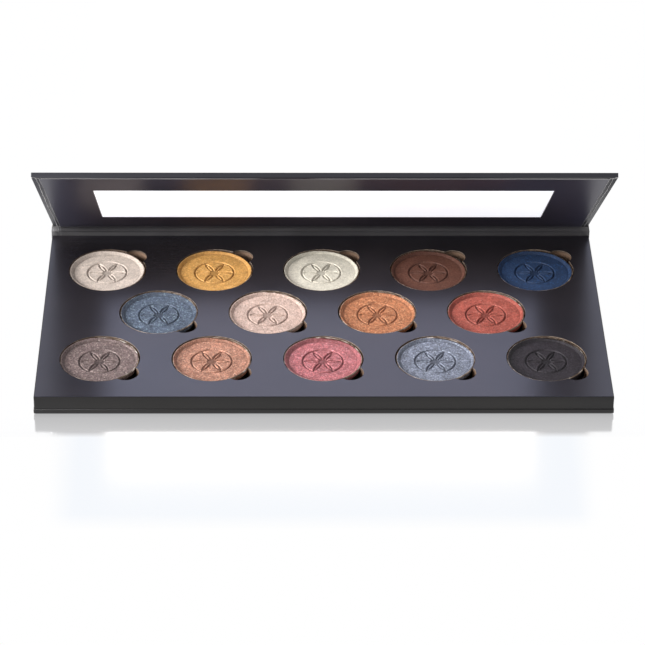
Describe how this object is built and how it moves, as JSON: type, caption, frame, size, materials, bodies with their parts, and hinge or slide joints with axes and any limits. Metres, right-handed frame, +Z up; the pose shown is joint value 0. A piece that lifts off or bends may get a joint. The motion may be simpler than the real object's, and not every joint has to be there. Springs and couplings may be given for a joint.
{
  "type": "eyeshadow palette",
  "caption": "Book-style board case with a mirror in its hinged lid and a magnetic tray of loose round pans of pressed powder.",
  "frame": {"origin": "centre of the tray on the underside of the case", "axes": "+X along the hinge towards the user's right, +Y from the front edge towards the spine, +Z up"},
  "size_m": [0.1918, 0.1024, 0.0774],
  "materials": {
    "case_wrap": "black paper with a soft-touch film",
    "crease": "black paper with a soft-touch film, folded",
    "greyboard": "raw grey-brown board",
    "kraft_board": "die-cut tan board",
    "floor_card": "plain card",
    "tray_paper": "black paper with a satin film",
    "face_paper": "black paper with a satin film",
    "lining_paper": "black paper with a satin film",
    "magnetic_sheet": "matt magnetic rubber",
    "magnet": "nickel plated",
    "mirror_glass": "clear polished",
    "silvering": "silvered",
    "adhesive": "double-sided adhesive sheet",
    "pan_tin": "tinplate with a warm lacquer",
    "powder_cream": "pressed powder",
    "powder_mustard": "pressed powder",
    "powder_ivory": "pressed powder",
    "powder_brown": "pressed powder",
    "powder_deep_blue": "pressed powder",
    "powder_teal": "pressed powder",
    "powder_pale_pink": "pressed powder",
    "powder_copper": "pressed powder",
    "powder_brick": "pressed powder",
    "powder_taupe": "pressed powder",
    "powder_rose_copper": "pressed powder",
    "powder_berry": "pressed powder",
    "powder_steel_blue": "pressed powder",
    "powder_near_black": "pressed powder"
  },
  "bodies": {
    "base": {"bottom_board": "greyboard", "base_wrap": "case_wrap", "spine_board": "greyboard", "spine_lining": "lining_paper", "hinge_crease": "crease", "tray_front_wall": "greyboard", "tray_back_wall": "greyboard", "tray_left_wall": "greyboard", "tray_right_wall": "greyboard", "tray_wrap": "tray_paper", "tray_floor": "floor_card", "magnetic_sheet": "magnetic_sheet", "well_board_lower": "kraft_board", "well_board_upper": "kraft_board", "face_paper": "face_paper", "tray_magnets": "magnet"},
    "lid": {"lid_wrap": "case_wrap", "lid_board": "greyboard", "mirror_frame_board": "greyboard", "lid_lining": "lining_paper", "mirror_adhesive": "adhesive", "mirror_silvering": "silvering", "mirror_glass": "mirror_glass", "lid_magnets": "magnet"},
    "pan_01": {"pan_01": "pan_tin", "cake_01": "powder_cream"},
    "pan_02": {"pan_02": "pan_tin", "cake_02": "powder_mustard"},
    "pan_03": {"pan_03": "pan_tin", "cake_03": "powder_ivory"},
    "pan_04": {"pan_04": "pan_tin", "cake_04": "powder_brown"},
    "pan_05": {"pan_05": "pan_tin", "cake_05": "powder_deep_blue"},
    "pan_06": {"pan_06": "pan_tin", "cake_06": "powder_teal"},
    "pan_07": {"pan_07": "pan_tin", "cake_07": "powder_pale_pink"},
    "pan_08": {"pan_08": "pan_tin", "cake_08": "powder_copper"},
    "pan_09": {"pan_09": "pan_tin", "cake_09": "powder_brick"},
    "pan_10": {"pan_10": "pan_tin", "cake_10": "powder_taupe"},
    "pan_11": {"pan_11": "pan_tin", "cake_11": "powder_rose_copper"},
    "pan_12": {"pan_12": "pan_tin", "cake_12": "powder_berry"},
    "pan_13": {"pan_13": "pan_tin", "cake_13": "powder_steel_blue"},
    "pan_14": {"pan_14": "pan_tin", "cake_14": "powder_near_black"}
  },
  "joints": [
    {"name": "lid_hinge", "type": "hinge", "parent": "base", "child": "lid", "pos_m": [0, 0.05103, 0.0102], "axis": [-1, 0, 0], "range_deg": [-42.56, 138.95]},
    {"name": "pan_01_lift", "type": "slide", "parent": "base", "child": "pan_01", "axis": [0, 0, 1], "range_m": [0, 0.008]},
    {"name": "pan_02_lift", "type": "slide", "parent": "base", "child": "pan_02", "axis": [0, 0, 1], "range_m": [0, 0.008]},
    {"name": "pan_03_lift", "type": "slide", "parent": "base", "child": "pan_03", "axis": [0, 0, 1], "range_m": [0, 0.008]},
    {"name": "pan_04_lift", "type": "slide", "parent": "base", "child": "pan_04", "axis": [0, 0, 1], "range_m": [0, 0.008]},
    {"name": "pan_05_lift", "type": "slide", "parent": "base", "child": "pan_05", "axis": [0, 0, 1], "range_m": [0, 0.008]},
    {"name": "pan_06_lift", "type": "slide", "parent": "base", "child": "pan_06", "axis": [0, 0, 1], "range_m": [0, 0.008]},
    {"name": "pan_07_lift", "type": "slide", "parent": "base", "child": "pan_07", "axis": [0, 0, 1], "range_m": [0, 0.008]},
    {"name": "pan_08_lift", "type": "slide", "parent": "base", "child": "pan_08", "axis": [0, 0, 1], "range_m": [0, 0.008]},
    {"name": "pan_09_lift", "type": "slide", "parent": "base", "child": "pan_09", "axis": [0, 0, 1], "range_m": [0, 0.008]},
    {"name": "pan_10_lift", "type": "slide", "parent": "base", "child": "pan_10", "axis": [0, 0, 1], "range_m": [0, 0.008]},
    {"name": "pan_11_lift", "type": "slide", "parent": "base", "child": "pan_11", "axis": [0, 0, 1], "range_m": [0, 0.008]},
    {"name": "pan_12_lift", "type": "slide", "parent": "base", "child": "pan_12", "axis": [0, 0, 1], "range_m": [0, 0.008]},
    {"name": "pan_13_lift", "type": "slide", "parent": "base", "child": "pan_13", "axis": [0, 0, 1], "range_m": [0, 0.008]},
    {"name": "pan_14_lift", "type": "slide", "parent": "base", "child": "pan_14", "axis": [0, 0, 1], "range_m": [0, 0.008]}
  ]
}
